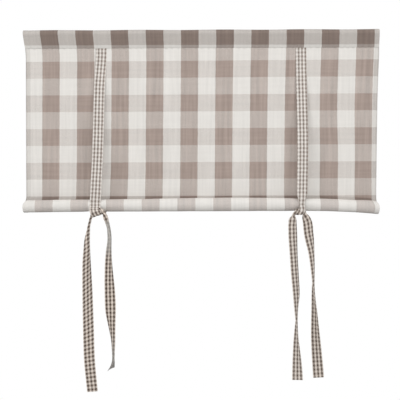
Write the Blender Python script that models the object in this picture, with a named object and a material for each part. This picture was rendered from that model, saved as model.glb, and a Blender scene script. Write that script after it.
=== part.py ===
"""A tie-up curtain: one gingham panel with a rod tunnel along its top, its lower end rolled up towards
the front, and two pairs of small-check ties that are half-knotted under the roll.

Metres, +Z up. The front faces -Y, X runs to the viewer's right, and the origin is on the axis of the
curtain rod, midway along the tunnel. The flat panel hangs in the plane Y = 0.
"""

import math

import bmesh
import bpy
import numpy as np
from mathutils import Vector

# Cloth of the panel, and the size of its checks
CLOTH = 0.0006
CHECK = 0.050

# Width of the panel, and how its sides draw in below the header
HEADER_WIDTH = 1.000
SEAM_DRAW_IN = 0.0055
PANEL_DRAW_IN = 0.0085
ROLL_DRAW_IN = 0.002
DRAW_IN_DROP = 0.035
ROLL_FLARE = 0.030

# Tunnel: a round top for the rod, closed by a seam below it
TUNNEL_RADIUS = 0.0114
SEAM_DROP = 0.0404

# Roll: its axis below the rod's axis, its radius, its hollow middle and the air between its turns
ROLL_DROP = 0.4797
ROLL_RADIUS = 0.0178
CORE_RADIUS = 0.005
TURN_AIR = 0.0007
LEFT_DROOP = 0.002
RIGHT_DROOP = 0.0095

# Ties: how far their sewn ends are from the header's ends, and how much of each is sewn
TIE_WIDTH = 0.030
TIE_THICKNESS = 0.001
TIE_CHECK = 0.005
TIE_INSET = 0.222
SEWN_END = 0.008

# Air between pieces of cloth that touch
CLEARANCE = 0.0003

# Pleats of a gathered tie
GATHERED_WIDTH = 0.0084
PLEATS = 6

# Half knots: how long they are, and the air between their strands
KNOT_LENGTH = 0.0285
STRAND_AIR = 0.0036

# Each knot hangs in front of the roll's lowest line by an angle, and its axis may be tilted
LEFT_KNOT_FORWARD = math.radians(58)
LEFT_KNOT_TILT = math.radians(15)
RIGHT_KNOT_FORWARD = math.radians(45)
RIGHT_KNOT_TILT = 0.0

# The back strand's share of the distance between the two strands
LEFT_BACK_SHARE = 0.12
RIGHT_BACK_SHARE = 0.5

# The back tie leaves the roll this far before the knot, and joins the knot at this share of its length
JOIN_ANGLE = math.radians(35)
JOIN_SHARE = 0.85
WRAP_STATIONS = 6
BACK_STRAND_STATIONS = 8

# How far the front ties lie outside of their sewn ends where they cross the roll
LEFT_TIE_STRAY = 0.018
RIGHT_TIE_STRAY = 0.001
RIGHT_KNOT_STRAY = 0.002

# A front tie starts to gather this far above the roll, and gathers along the knot
GATHER_RUN = 0.040
LEFT_GATHERS = (0.0, 0.1, 0.7, 1.0, 1.0, 1.0, 1.0, 1.0, 1.0)
RIGHT_GATHERS = (0.8, 1.0, 1.0, 1.0, 1.0, 1.0, 1.0, 1.0, 1.0)

# Tails: drop and sideways shift from the knot's middle, turn about the upright in degrees, and gather
LEFT_FRONT_TAIL = (
    (0.007, 0.0165, 15, 0.6),
    (0.025, 0.0218, 40, 0.5),
    (0.042, 0.0262, 62, 0.45),
    (0.059, 0.0285, 78, 0.3),
    (0.110, 0.0284, 58, 0.05),
    (0.177, 0.0287, 36, 0.0),
    (0.245, 0.0302, 8, 0.0),
    (0.312, 0.0322, -42, 0.0),
    (0.379, 0.0362, -76, 0.0),
    (0.413, 0.0365, -92, 0.0),
    (0.441, 0.0290, -130, 0.0),
)
LEFT_BACK_TAIL = (
    (0.011, -0.0222, 20, 1.0),
    (0.029, -0.0262, 40, 0.85),
    (0.060, -0.0318, 45, 0.45),
    (0.110, -0.0328, 42, 0.12),
    (0.211, -0.0326, 28, 0.0),
    (0.329, -0.0306, 10, 0.0),
    (0.413, -0.0283, 0, 0.0),
    (0.504, -0.0203, -8, 0.0),
)
RIGHT_FRONT_TAIL = (
    (0.011, -0.0125, 15, 0.85),
    (0.019, -0.0140, 20, 0.35),
    (0.031, -0.0142, 22, 0.15),
    (0.060, -0.0136, 22, 0.05),
    (0.111, -0.0112, 32, 0.0),
    (0.178, -0.0072, 38, 0.0),
    (0.228, -0.0038, 46, 0.0),
    (0.312, -0.0046, 90, 0.0),
    (0.379, -0.0038, 125, 0.0),
    (0.470, -0.0036, 168, 0.0),
)
RIGHT_BACK_TAIL = (
    (0.011, 0.0200, 0, 0.8),
    (0.027, 0.0265, 8, 0.3),
    (0.060, 0.0308, 12, 0.05),
    (0.111, 0.0392, 45, 0.0),
    (0.178, 0.0430, 76, 0.0),
    (0.211, 0.0434, 90, 0.0),
    (0.278, 0.0472, 118, 0.0),
    (0.345, 0.0488, 140, 0.0),
    (0.466, 0.0556, 176, 0.0),
)

# Finish
PANEL_PALE = (0.76, 0.74, 0.70)
PANEL_MID = (0.55, 0.49, 0.44)
PANEL_DARK = (0.39, 0.31, 0.27)
TIE_PALE = (0.74, 0.70, 0.66)
TIE_MID = (0.38, 0.32, 0.28)
TIE_DARK = (0.15, 0.11, 0.09)
COTTON_ROUGHNESS = 0.9

# Facets
COLUMNS = 8
TUNNEL_STEPS = 16
OUTER_TURN_STEP = math.radians(15)
INNER_TURN_STEP = math.radians(30)
FLAT_ROWS = 4
SHARP_EDGE = math.radians(50)
SHORT_STEP_GATHER = 0.5
SHORT_STEP_TURN = 0.02


def clear_scene():
    for obj in list(bpy.data.objects):
        bpy.data.objects.remove(obj)


def gingham(name, check, pale, mid, dark):
    """A woven check of three tones. The UV map holds cloth coordinates in metres."""
    material = bpy.data.materials.new(name)
    material.use_nodes = True
    nodes = material.node_tree.nodes
    links = material.node_tree.links
    shader = nodes["Principled BSDF"]
    shader.inputs["Roughness"].default_value = COTTON_ROUGHNESS
    shader.inputs["Metallic"].default_value = 0.0
    shader.inputs["Base Color"].default_value = (*mid, 1.0)
    place = nodes.new("ShaderNodeUVMap")
    place.uv_map = "cloth"
    split = nodes.new("ShaderNodeSeparateXYZ")
    links.new(place.outputs["UV"], split.inputs["Vector"])
    stripes = []
    for axis in ("X", "Y"):
        wrap = nodes.new("ShaderNodeMath")
        wrap.operation = "PINGPONG"
        wrap.inputs[1].default_value = check
        links.new(split.outputs[axis], wrap.inputs[0])
        stripe = nodes.new("ShaderNodeMath")
        stripe.operation = "GREATER_THAN"
        stripe.inputs[1].default_value = check / 2
        links.new(wrap.outputs["Value"], stripe.inputs[0])
        stripes.append(stripe)
    total = nodes.new("ShaderNodeMath")
    total.operation = "ADD"
    links.new(stripes[0].outputs["Value"], total.inputs[0])
    links.new(stripes[1].outputs["Value"], total.inputs[1])
    half = nodes.new("ShaderNodeMath")
    half.operation = "MULTIPLY"
    half.inputs[1].default_value = 0.5
    links.new(total.outputs["Value"], half.inputs[0])
    ramp = nodes.new("ShaderNodeValToRGB")
    ramp.color_ramp.interpolation = "CONSTANT"
    ramp.color_ramp.elements[0].color = (*pale, 1.0)
    ramp.color_ramp.elements[1].position = 0.75
    ramp.color_ramp.elements[1].color = (*dark, 1.0)
    middle = ramp.color_ramp.elements.new(0.25)
    middle.color = (*mid, 1.0)
    links.new(half.outputs["Value"], ramp.inputs["Fac"])
    links.new(ramp.outputs["Color"], shader.inputs["Base Color"])
    return material


def finish_object(name, bm, material):
    """Turns the bmesh into an object whose faces all point out."""
    bmesh.ops.recalc_face_normals(bm, faces=bm.faces[:])
    mesh = bpy.data.meshes.new(name)
    bm.to_mesh(mesh)
    bm.free()
    mesh.materials.append(material)
    mesh.shade_smooth()
    mesh.set_sharp_from_angle(angle=SHARP_EDGE)
    obj = bpy.data.objects.new(name, mesh)
    bpy.context.scene.collection.objects.link(obj)
    return obj


def map_cloth(bm, places):
    """Writes each vertex's cloth coordinates, in metres, to the UV map."""
    layer = bm.loops.layers.uv.new("cloth")
    for face in bm.faces:
        for loop in face.loops:
            loop[layer].uv = places[loop.vert]


# Panel


def roll_axis(x):
    """(y, z) of the roll's axis, which droops beyond each tie."""
    reach = HEADER_WIDTH / 2 - TIE_INSET
    past_tie = max(abs(x) - reach, 0.0) / TIE_INSET
    droop = RIGHT_DROOP if x > 0 else LEFT_DROOP
    return -(ROLL_RADIUS - CLOTH / 2), -ROLL_DROP - droop * past_tie**2


def tunnel_profile():
    """Middle line of the tunnel's cloth as (y, z, normal y, normal z), from its front seam to its back seam."""
    tangent = math.acos(TUNNEL_RADIUS / SEAM_DROP)
    rows = []
    for angle in np.linspace(tangent, 2 * math.pi - tangent, TUNNEL_STEPS + 1):
        out_y = -math.sin(angle)
        out_z = -math.cos(angle)
        rows.append((TUNNEL_RADIUS * out_y, TUNNEL_RADIUS * out_z, out_y, out_z))
    return rows


def spiral_angles():
    """Angles of the roll's cloth from the back of its outer turn inwards."""
    pitch = CLOTH + TURN_AIR
    turns = (ROLL_RADIUS - CLOTH / 2 - CORE_RADIUS) / pitch
    outer = np.arange(round(2 * math.pi / OUTER_TURN_STEP)) * OUTER_TURN_STEP
    inner = np.arange(2 * math.pi, 2 * math.pi * turns, INNER_TURN_STEP)
    return [*outer, *inner]


def panel_profile(x):
    """Middle line of the flat cloth and the roll at this x: (y, z, normal y, normal z), from the seam down.

    The normal points to the panel's face, which is the inner side of the roll.
    """
    axis_y, axis_z = roll_axis(x)
    flare_top = axis_z + ROLL_FLARE
    upper = [-SEAM_DROP, -SEAM_DROP - DRAW_IN_DROP / 3, -SEAM_DROP - DRAW_IN_DROP]
    lower = np.linspace(-SEAM_DROP - DRAW_IN_DROP, flare_top, FLAT_ROWS + 1)[1:]
    rows = [(0.0, z, -1.0, 0.0) for z in [*upper, *lower]]
    pitch = CLOTH + TURN_AIR
    for angle in spiral_angles():
        radius = ROLL_RADIUS - CLOTH / 2 - pitch * angle / (2 * math.pi)
        in_y = -math.cos(angle)
        in_z = math.sin(angle)
        rows.append((axis_y - radius * in_y, axis_z - radius * in_z, in_y, in_z))
    return rows


def half_width(z, axis_z):
    """Half the width of the cloth at this height: wide at the rod, drawn in below, wide again on the roll."""
    heights = [axis_z, axis_z + ROLL_FLARE, -SEAM_DROP - DRAW_IN_DROP, -SEAM_DROP, 0.0]
    draw_in = [ROLL_DRAW_IN, PANEL_DRAW_IN, PANEL_DRAW_IN, SEAM_DRAW_IN, 0.0]
    return HEADER_WIDTH / 2 - float(np.interp(z, heights, draw_in))


def panel_column(bm, places, share):
    """Vertices of one upright column of the cloth: (front of panel, back of panel, tunnel outside, inside)."""
    nominal_x = share * HEADER_WIDTH / 2
    axis_z = roll_axis(nominal_x)[1]

    def add(y, z, along):
        x = share * half_width(z, axis_z)
        vertex = bm.verts.new((x, y, z))
        places[vertex] = (nominal_x, along)
        return vertex

    front, back = [], []
    along = 0.0
    last = None
    for y, z, normal_y, normal_z in panel_profile(nominal_x):
        if last is not None:
            along -= math.hypot(y - last[0], z - last[1])
        last = (y, z)
        front.append(add(y + normal_y * CLOTH / 2, z + normal_z * CLOTH / 2, along))
        back.append(add(y - normal_y * CLOTH / 2, z - normal_z * CLOTH / 2, along))

    slant = math.asin(TUNNEL_RADIUS / SEAM_DROP)
    crotch = add(0.0, -SEAM_DROP + CLOTH / 2 / math.sin(slant), 0.0)
    outside, inside = [front[0]], [crotch]
    along = 0.0
    last = (0.0, -SEAM_DROP)
    for y, z, out_y, out_z in tunnel_profile():
        along += math.hypot(y - last[0], z - last[1])
        last = (y, z)
        outside.append(add(y + out_y * CLOTH / 2, z + out_z * CLOTH / 2, along))
        inside.append(add(y - out_y * CLOTH / 2, z - out_z * CLOTH / 2, along))
    return front, back, [*outside, back[0]], [*inside, crotch]


def strip(bm, one, other):
    """Faces between two rows of vertices. A place where both rows share a vertex makes a triangle."""
    for k in range(len(one) - 1):
        corners = [one[k], one[k + 1], other[k + 1], other[k]]
        unique = list(dict.fromkeys(corners))
        bm.faces.new(unique)


def make_panel(material):
    bm = bmesh.new()
    places = {}
    columns = [panel_column(bm, places, share) for share in np.linspace(-1, 1, COLUMNS + 1)]
    for left, right in zip(columns, columns[1:]):
        for line in range(4):
            strip(bm, left[line], right[line])
        strip(bm, [left[0][-1], left[1][-1]], [right[0][-1], right[1][-1]])
    for front, back, outside, inside in (columns[0], columns[-1]):
        strip(bm, front, back)
        strip(bm, outside, inside)
        bm.faces.new((front[0], inside[0], back[0]))
    map_cloth(bm, places)
    return finish_object("panel", bm, material)


# Ties


def station(point, turn=0.0, gather=0.0):
    """One place on a tie's route: its middle, how far it is turned about the upright, and how gathered it is."""
    angle = math.radians(turn)
    return np.array([*point, math.cos(angle), math.sin(angle), 0.0, gather])


def smooth_route(stations, longest):
    """A smooth route through all stations, with no step over the length given and at least one step between."""
    stations = np.array(stations)
    lengths = np.linalg.norm(np.diff(stations[:, :3], axis=0), axis=1)
    reach = np.concatenate([[0.0], np.cumsum(lengths)])
    slopes = np.gradient(stations, reach, axis=0)
    route = [stations[0]]
    for k, length in enumerate(lengths):
        steps = max(1, math.ceil(length / longest(stations[k], stations[k + 1])))
        for t in np.linspace(0, 1, steps + 1)[1:]:
            route.append(
                (2 * t**3 - 3 * t**2 + 1) * stations[k]
                + (t**3 - 2 * t**2 + t) * length * slopes[k]
                + (3 * t**2 - 2 * t**3) * stations[k + 1]
                + (t**3 - t**2) * length * slopes[k + 1]
            )
    return np.array(route)


def tie_section(gather):
    """(across, depth) of the tie's middle line. Pleating keeps the cloth's own width."""
    gather = min(max(gather, 0.0), 1.0)
    pleat = TIE_WIDTH / PLEATS
    steepness = math.acos(1 - gather * (1 - GATHERED_WIDTH / TIE_WIDTH))
    across = (np.arange(PLEATS + 1) - PLEATS / 2) * pleat * math.cos(steepness)
    depth = np.where(np.arange(PLEATS + 1) % 2 == 0, 0.5, -0.5) * pleat * math.sin(steepness)
    return across.tolist(), depth.tolist()


def make_tie(name, route, material):
    """A flat band of cloth along the route."""
    bm = bmesh.new()
    places = {}
    rings = []
    points = route[:, :3]
    tangents = np.gradient(points, axis=0)
    along = 0.0
    for k, row in enumerate(route):
        if k:
            along -= float(np.linalg.norm(points[k] - points[k - 1]))
        tangent = Vector(tangents[k]).normalized()
        side = Vector(row[3:6])
        side = (side - side.dot(tangent) * tangent).normalized()
        face = tangent.cross(side)
        across, depth = tie_section(row[6])
        upper, lower = [], []
        for column, (a, b) in enumerate(zip(across, depth)):
            middle = Vector(row[:3]) + a * side + b * face
            for line, sign in ((upper, 1), (lower, -1)):
                vertex = bm.verts.new(middle + sign * TIE_THICKNESS / 2 * face)
                places[vertex] = ((column / PLEATS - 0.5) * TIE_WIDTH, along)
                line.append(vertex)
        rings.append((upper, lower))
    for (upper, lower), (next_upper, next_lower) in zip(rings, rings[1:]):
        strip(bm, upper, next_upper)
        strip(bm, lower, next_lower)
        strip(bm, [upper[0], lower[0]], [next_upper[0], next_lower[0]])
        strip(bm, [upper[-1], lower[-1]], [next_upper[-1], next_lower[-1]])
    for upper, lower in (rings[0], rings[-1]):
        strip(bm, upper, lower)
    map_cloth(bm, places)
    return finish_object(name, bm, material)


def half_depth(gather):
    """Half the depth of a tie that is gathered this much."""
    depth = tie_section(gather)[1]
    return (max(depth) - min(depth) + TIE_THICKNESS) / 2


class Knot:
    """A half knot on an axis that runs along the roll: each strand makes one turn round the other.

    Places on it are told by its share of the way along the axis, from the end where the front tie enters
    to the end where it leaves, and by an angle round the axis: 0 is the front, 90 below, 180 the back.
    """

    def __init__(self, front_x, hand, forward, tilt, back_share):
        across = 2 * (half_depth(1.0) + STRAND_AIR)
        self.back_radius = across * back_share
        self.front_radius = across * (1 - back_share)
        reach = ROLL_RADIUS + self.front_radius + half_depth(1.0) + 2 * CLEARANCE
        reach += KNOT_LENGTH / 2 * math.sin(abs(tilt))
        axis_y, axis_z = roll_axis(front_x)
        self.hand = hand
        self.forward = forward
        self.middle = Vector(
            (
                front_x + hand * KNOT_LENGTH / 2,
                axis_y - reach * math.sin(forward),
                axis_z - reach * math.cos(forward),
            )
        )
        self.axis = Vector((math.cos(tilt), 0.0, math.sin(tilt)))
        self.front = Vector((0.0, -1.0, 0.0))
        self.below = self.axis.cross(self.front)

    def place(self, share, angle, radius):
        along = self.hand * KNOT_LENGTH * (float(share) - 0.5)
        round_axis = math.cos(angle) * self.front + math.sin(angle) * self.below
        return self.middle + along * self.axis + radius * round_axis

    def front_strand(self, share):
        return self.place(share, 2 * math.pi * float(share), self.front_radius)

    def back_strand(self, share):
        return self.place(share, 2 * math.pi * float(share) - math.pi, self.back_radius)


def tail(knot, leaves_at, rows):
    """Stations of a hanging tail. A row is drop and sideways shift from the knot's middle, turn and gather."""
    stations = []
    for drop, sideways, turn, gather in rows:
        point = (knot.middle.x + sideways, leaves_at.y, knot.middle.z - drop)
        stations.append(station(point, turn, gather))
    return stations


def step_length(one, other):
    """Short steps where the tie is gathered or turns, long ones where it runs straight."""
    if max(one[6], other[6]) > SHORT_STEP_GATHER:
        return TIE_WIDTH / PLEATS
    if np.linalg.norm(one[3:6] - other[3:6]) > SHORT_STEP_TURN:
        return TIE_WIDTH
    return HEADER_WIDTH


def front_tie_route(top_x, roll_x, knot, knot_gathers, tail_rows):
    """Down the front from the seam, over the roll, round the back tie and down."""
    sewn_y = -(CLOTH / 2 + CLEARANCE + TIE_THICKNESS / 2)
    axis_y, axis_z = roll_axis(roll_x)
    touch = ROLL_RADIUS + CLEARANCE + half_depth(knot_gathers[0])
    top = np.array((top_x, sewn_y, -SEAM_DROP - SEWN_END))
    on_roll = np.array((roll_x, axis_y - touch, axis_z))
    stations = [
        station((top_x, sewn_y, -SEAM_DROP - CLEARANCE)),
        station(top),
        station(on_roll + GATHER_RUN * (top - on_roll) / np.linalg.norm(top - on_roll)),
        station(on_roll, gather=knot_gathers[0]),
    ]
    shares = np.linspace(0, 1, len(knot_gathers))
    for share, gather in zip(shares, knot_gathers):
        stations.append(station(knot.front_strand(share), gather=gather))
    return smooth_route(stations + tail(knot, knot.front_strand(1.0), tail_rows), step_length)


def back_tie_route(top_x, knot, tail_rows):
    """Down the back from the seam, under the roll, through the front tie's loop and down."""
    sewn_y = CLOTH / 2 + CLEARANCE + TIE_THICKNESS / 2
    end_x = knot.place(1.0, 0.0, 0.0).x
    axis_y, axis_z = roll_axis(end_x)
    stations = [
        station((top_x, sewn_y, -SEAM_DROP - CLEARANCE)),
        station((top_x, sewn_y, -SEAM_DROP - SEWN_END)),
        station((end_x, sewn_y, axis_z + GATHER_RUN)),
    ]
    last_angle = math.pi / 2 + knot.forward - JOIN_ANGLE
    for share in np.linspace(0, 1, WRAP_STATIONS).tolist():
        angle = last_angle * share
        around = ROLL_RADIUS + STRAND_AIR + half_depth(share)
        along_y = axis_y + around * math.cos(angle)
        along_z = axis_z - around * math.sin(angle)
        stations.append(station((end_x, along_y, along_z), gather=share))
    for share in np.linspace(JOIN_SHARE, 0, BACK_STRAND_STATIONS):
        stations.append(station(knot.back_strand(share), gather=1.0))
    return smooth_route(stations + tail(knot, knot.back_strand(0.0), tail_rows), step_length)


def main():
    clear_scene()
    panel_cloth = gingham("panel_cloth", 2 * CHECK, PANEL_PALE, PANEL_MID, PANEL_DARK)
    tie_cloth = gingham("tie_cloth", 2 * TIE_CHECK, TIE_PALE, TIE_MID, TIE_DARK)
    make_panel(panel_cloth)
    tie_x = HEADER_WIDTH / 2 - TIE_INSET

    left_x = -tie_x - LEFT_TIE_STRAY
    left_knot = Knot(left_x, 1, LEFT_KNOT_FORWARD, LEFT_KNOT_TILT, LEFT_BACK_SHARE)
    left_front = front_tie_route(-tie_x, left_x, left_knot, LEFT_GATHERS, LEFT_FRONT_TAIL)
    left_back = back_tie_route(-tie_x, left_knot, LEFT_BACK_TAIL)
    make_tie("tie_left_front", left_front, tie_cloth)
    make_tie("tie_left_back", left_back, tie_cloth)

    right_x = tie_x + RIGHT_TIE_STRAY
    knot_x = tie_x + RIGHT_KNOT_STRAY
    right_knot = Knot(knot_x, -1, RIGHT_KNOT_FORWARD, RIGHT_KNOT_TILT, RIGHT_BACK_SHARE)
    right_front = front_tie_route(tie_x, right_x, right_knot, RIGHT_GATHERS, RIGHT_FRONT_TAIL)
    right_back = back_tie_route(tie_x, right_knot, RIGHT_BACK_TAIL)
    make_tie("tie_right_front", right_front, tie_cloth)
    make_tie("tie_right_back", right_back, tie_cloth)


main()
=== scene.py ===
"""Looks of the tie-up curtain: a gingham panel that hangs from its rod tunnel, rolled up at its lower end,
with four small-check ties half-knotted under the roll. Metres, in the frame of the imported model."""

import math

import bmesh
import bpy
import numpy as np
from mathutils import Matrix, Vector


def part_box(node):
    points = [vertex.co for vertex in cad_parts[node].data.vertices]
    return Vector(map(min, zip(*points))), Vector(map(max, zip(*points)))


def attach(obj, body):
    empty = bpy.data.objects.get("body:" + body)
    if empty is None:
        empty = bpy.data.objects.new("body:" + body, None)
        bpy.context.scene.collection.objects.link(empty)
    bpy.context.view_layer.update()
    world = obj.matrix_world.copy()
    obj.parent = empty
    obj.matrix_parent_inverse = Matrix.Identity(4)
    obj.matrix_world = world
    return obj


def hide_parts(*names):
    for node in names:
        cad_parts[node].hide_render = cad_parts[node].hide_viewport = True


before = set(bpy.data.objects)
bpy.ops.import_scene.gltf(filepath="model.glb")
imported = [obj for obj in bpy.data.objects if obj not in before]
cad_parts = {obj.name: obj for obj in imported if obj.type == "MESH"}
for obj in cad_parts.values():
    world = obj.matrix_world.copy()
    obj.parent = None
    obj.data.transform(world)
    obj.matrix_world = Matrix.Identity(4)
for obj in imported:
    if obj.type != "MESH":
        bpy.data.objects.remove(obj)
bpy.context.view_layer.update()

panel_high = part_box("panel")[1]

# Panel, as in the CAD model. Its folded side edges end a little short of the solid's. PANEL_HALF is half
# the thickness of the solid's cloth.
EDGE_FOLD = 0.0015
HALF_WIDTH = float(panel_high[0]) - EDGE_FOLD
PANEL_HALF = 0.0003
SEAM_DROP = 0.0404
TUNNEL_RADIUS = 0.0114
ROLL_DROP = 0.4797
ROLL_RADIUS = 0.0178
CORE_RADIUS = 0.005
TURN_PITCH = 0.0013
LEFT_DROOP = 0.002
RIGHT_DROOP = 0.0095

# The panel's cloth: its thickness, its hems and the step at their inner edge, the rounding of outer edges,
# which the ties share, and how much fuller the roll is made in its middle and at its right end
CLOTH = 0.0005
HEM_EXTRA = 0.0006
HEM_WIDTH = 0.013
HEM_STEP = 0.0012
EDGE_ROUND = 0.0012
ROLL_PLUMP = 0.0018
ROLL_END_PLUMP = 0.0014

# The roll: how deep the ties press it in, how uneven it is, how far its turns slip sideways near the ends,
# and how far its ends are rounded at the top and underneath
ROLL_PRESS = 0.0016
ROLL_UNEVEN = 0.0004
TURN_SLIP = 0.0016
ROLL_ROUND_TOP = 0.0085
ROLL_ROUND_UNDER = 0.0020

# Soft folds of the flat cloth: height, width over two pi, phase, and the phase's change on the way down.
# TIE_ROOM is how far the cloth comes forward to clear the back ties.
FOLDS = ((0.0011, 0.031, 0.0, 1.2), (0.0010, 0.047, 2.0, -0.8), (0.0006, 0.019, 0.7, 0.0))
TIE_ROOM = 0.0029

# Rows and columns of the panel's mesh. COLUMNS counts those between the hems, and the rows are denser from
# DENSE_FROM, a share of the way down to the roll.
COLUMNS = 193
FLAT_ROWS = 79
DENSE_ROWS = 19
DENSE_FROM = 0.92

# How far each side edge lies in from the header's end, by height. ROLL_FLARE is the height over which it
# runs out to its place at the roll.
LEFT_DRAW_IN = ((0.0, 0.0), (-0.020, 0.0022), (-0.0404, 0.0053), (-0.060, 0.0070), (-0.080, 0.0073))
RIGHT_DRAW_IN = (
    (0.0, 0.0),
    (-0.060, 0.0004),
    (-0.102, 0.0026),
    (-0.186, 0.0058),
    (-0.298, 0.0080),
    (-0.44, 0.0102),
)
LEFT_ROLL_DRAW_IN = 0.0019
RIGHT_ROLL_DRAW_IN = 0.0066
ROLL_FLARE = 0.028

# Check of the panel, in cloth coordinates: across from the middle, along from the header seam
CHECK_ACROSS = 0.0987
CHECK_ALONG = 0.0946
FIRST_COLUMN = -0.4526
FIRST_ROW = 0.0565

# How far the check strays from a straight grid: in the roll, near the ties, along its rows and columns, and
# in the header. The roll's values come in from ROLLED_FROM, a length of cloth below the seam, and each pull
# is strongest at its own place across.
ROLLED_FROM = 0.447
ROLLED_FADE = 0.025
ROLL_SHIFT_ACROSS = 0.0092
ROLL_SHIFT_ALONG = 0.007
ROLL_SCALE_ACROSS = 0.985
RIGHT_PULL = 0.0041
RIGHT_PULL_AT = 0.385
LEFT_PULL = 0.0030
LEFT_PULL_AT = -0.27
LEFT_ROLL_BOW = 0.0040
RIGHT_ROLL_BOW = 0.0025
ROW_RISE = 0.0030
ROW_SKEW = 0.0022
COLUMN_LEAN = 0.0045
COLUMN_SPREAD = 0.0019
HEADER_SHIFT = -0.0011
HEADER_SPREAD = 0.0014

# Ties and knots. Widths, sewn ends and gathers are the CAD model's. The ties' courses, and how the knots
# turn and how long they are, differ a little from it.
TIE_WIDTH = 0.030
TIE_THICKNESS = 0.001
LEFT_TIE_X = -0.2804
RIGHT_TIE_X = 0.2790
LEFT_SWAY = ((-0.2850, -0.160), (-0.2873, -0.258), (-0.2898, -0.342))
RIGHT_SWAY = ((0.2810, -0.335),)
LEFT_ROLL_X = -0.2962
RIGHT_ROLL_X = 0.2776
RIGHT_KNOT_X = 0.2834
LEFT_KNOT_FORWARD = math.radians(62)
LEFT_KNOT_TILT = math.radians(6)
LEFT_BACK_SHARE = 0.0
RIGHT_KNOT_FORWARD = math.radians(45)
RIGHT_BACK_SHARE = 0.5
TIE_CHECK_ACROSS = 0.0094
TIE_CHECK_ALONG = 0.01125
TIE_FIRST_ROW = 0.0066
TIE_CHECK_SHIFT = 0.0029
SEWN_END = 0.008
CLEARANCE = 0.0003
GATHERED_WIDTH = 0.0084
PLEATS = 6
STRAND_AIR = 0.0030
LEFT_KNOT_LENGTH = 0.028
RIGHT_KNOT_LENGTH = 0.022
JOIN_SHARE = 0.85
JOIN_ANGLE = math.radians(35)
GATHER_RUN = 0.040
ROUTE_STEP = 0.0025
TIE_EDGE_THIN = 0.45

# Stitches, and how far below a tie's top end each of its two rows lies
STITCH_PITCH = 0.0036
STITCH_LENGTH = 0.0026
THREAD_RADIUS = 0.00024
TIE_STITCH_DROPS = (0.002, 0.0065)

# Curl of a tie across its width, in radians: flat, hanging, cupped below the knot, and scrolled in the knot
FLAT_CURL = 0.15
HANG_CURL = 1.5
CUP_CURL = 1.1
FULL_CURL = 7.6

# Lengths along a tie from its top end where its curl and looks start or stop, and lengths over which they
# fade. HANG_SHRINK is a share: it shrinks the cloth coordinates across the hanging end, which widens its
# check.
CUP_UNTIL = 0.62
CUP_FADE = 0.15
HANG_FROM = 0.5
HANG_FADE = 0.05
HANG_SHRINK = 0.08
SHADE_FROM = 0.450
SHADE_FADE = 0.04
DRIFT_OVER = 0.11
NECK_FROM = 0.549
NECK_FADE_IN = 0.02
NECK_UNTIL = 0.615
NECK_FADE_OUT = 0.06

# Lengths above a tie's lower end: its skew fades out over the first, and its slanted cut and its plain,
# darker colour, which is partly painted shade, come in over the others. TIP_SHADE is how much painted shade
# darkens the very end.
SKEW_FADE = 0.28
CUT_RUN = 0.040
PLAIN_SHADE_RUN = 0.115
TIP_SHADE = 0.50

# Front tie in the knot: share of the knot's length, degrees round its axis, distance from it, and gather.
# FOLD_LEAN is how far the left one leans up to the right.
LEFT_WRAP = (
    (0.10, 0, 0.0112, 0.0),
    (0.19, 45, 0.0112, 0.02),
    (0.29, 90, 0.0106, 0.06),
    (0.37, 135, 0.0090, 0.5),
    (0.45, 180, 0.0075, 0.9),
    (0.55, 235, 0.0068, 1.0),
    (0.66, 300, 0.0058, 1.0),
    (0.80, 375, 0.0064, 1.0),
    (0.94, 425, 0.0078, 0.95),
)
RIGHT_WRAP = (
    (0.27, 0, 0.0060, 0.6),
    (0.30, 45, 0.0060, 0.9),
    (0.35, 90, 0.0060, 1.0),
    (0.43, 140, 0.0060, 1.0),
    (0.53, 190, 0.0060, 1.0),
    (0.64, 240, 0.0060, 1.0),
    (0.76, 290, 0.0060, 1.0),
    (0.90, 345, 0.0060, 1.0),
)
FOLD_LEAN = math.radians(24)

# Tails: drop and sideways shift from the knot's middle, turn about the upright in degrees, and gather
LEFT_FRONT_TAIL = (
    (0.0119, 0.0146, 15, 0.6),
    (0.0297, 0.0199, 40, 0.5),
    (0.0465, 0.0243, 62, 0.45),
    (0.0633, 0.0266, 78, 0.3),
    (0.1137, 0.0265, 58, 0.05),
    (0.1800, 0.0268, 36, 0.0),
    (0.2472, 0.0283, 8, 0.0),
    (0.3135, 0.0303, -42, 0.0),
    (0.3798, 0.0343, -76, 0.0),
    (0.4134, 0.0346, -92, 0.0),
    (0.4411, 0.0271, -130, 0.0),
)
LEFT_BACK_TAIL = (
    (0.0157, -0.0239, 65, 1.0),
    (0.0333, -0.0279, 58, 0.85),
    (0.0636, -0.0335, 45, 0.45),
    (0.1126, -0.0345, 42, 0.12),
    (0.2115, -0.0343, 28, 0.0),
    (0.3270, -0.0323, 10, 0.0),
    (0.4092, -0.0300, 0, 0.0),
    (0.4983, -0.0220, -8, 0.0),
)
RIGHT_FRONT_TAIL = (
    (0.0109, -0.0184, 15, 0.85),
    (0.0188, -0.0199, 20, 0.35),
    (0.0307, -0.0201, 22, 0.15),
    (0.0595, -0.0195, 22, 0.05),
    (0.1100, -0.0171, 32, 0.0),
    (0.1764, -0.0131, 38, 0.0),
    (0.2259, -0.0097, 46, 0.0),
    (0.3092, -0.0105, 90, 0.0),
    (0.3756, -0.0097, 125, 0.0),
    (0.4658, -0.0095, 168, 0.0),
)
RIGHT_BACK_TAIL = (
    (0.0109, 0.0141, 0, 0.42),
    (0.0267, 0.0206, 8, 0.12),
    (0.0593, 0.0249, 12, 0.05),
    (0.1098, 0.0333, 45, 0.0),
    (0.1760, 0.0371, 76, 0.0),
    (0.2087, 0.0375, 90, 0.0),
    (0.2749, 0.0413, 118, 0.0),
    (0.3412, 0.0429, 140, 0.0),
    (0.4609, 0.0497, 176, 0.0),
)
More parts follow.
